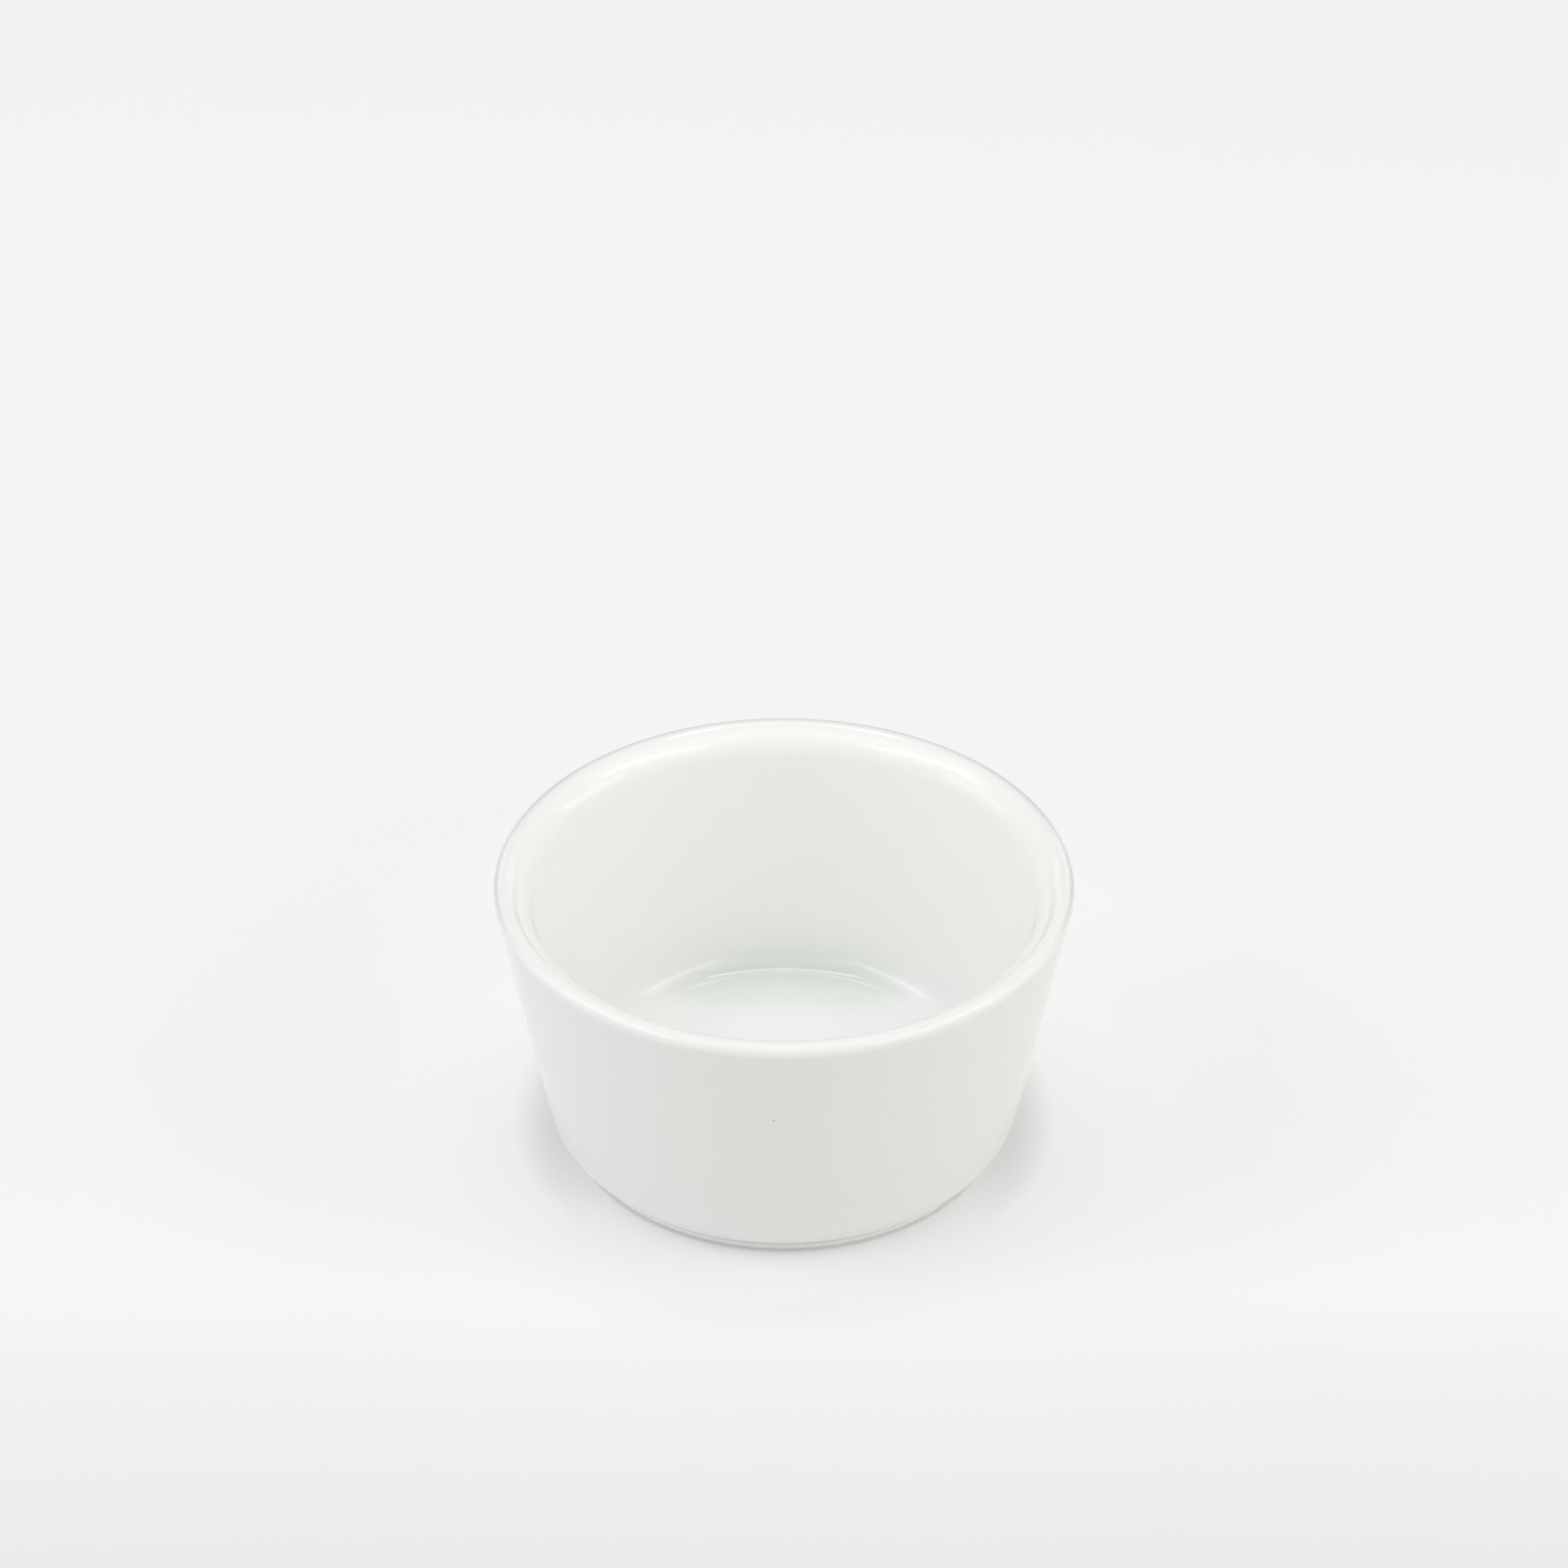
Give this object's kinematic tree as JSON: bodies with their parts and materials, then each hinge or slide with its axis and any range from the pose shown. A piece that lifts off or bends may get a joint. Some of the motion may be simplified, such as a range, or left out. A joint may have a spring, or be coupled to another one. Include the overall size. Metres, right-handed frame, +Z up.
{
  "type": "ramekin",
  "caption": "Round white porcelain ramekin with a plain leaning wall, rounded rim, coved flat inside floor and a low bare foot ring.",
  "frame": {"origin": "on the axis, in the plane that the foot ring stands on", "axes": "+Z up along the axis of the dish, from the foot to the rim"},
  "size_m": [0.08, 0.08, 0.0418],
  "materials": {
    "bare_porcelain": "unglazed fired porcelain, smoothed, matte",
    "glaze": "clear feldspathic glaze over white porcelain, high gloss"
  },
  "bodies": {
    "root": {"porcelain_body": "bare_porcelain", "glaze_coat": "glaze", "foot_well_glaze": "glaze"}
  },
  "joints": []
}
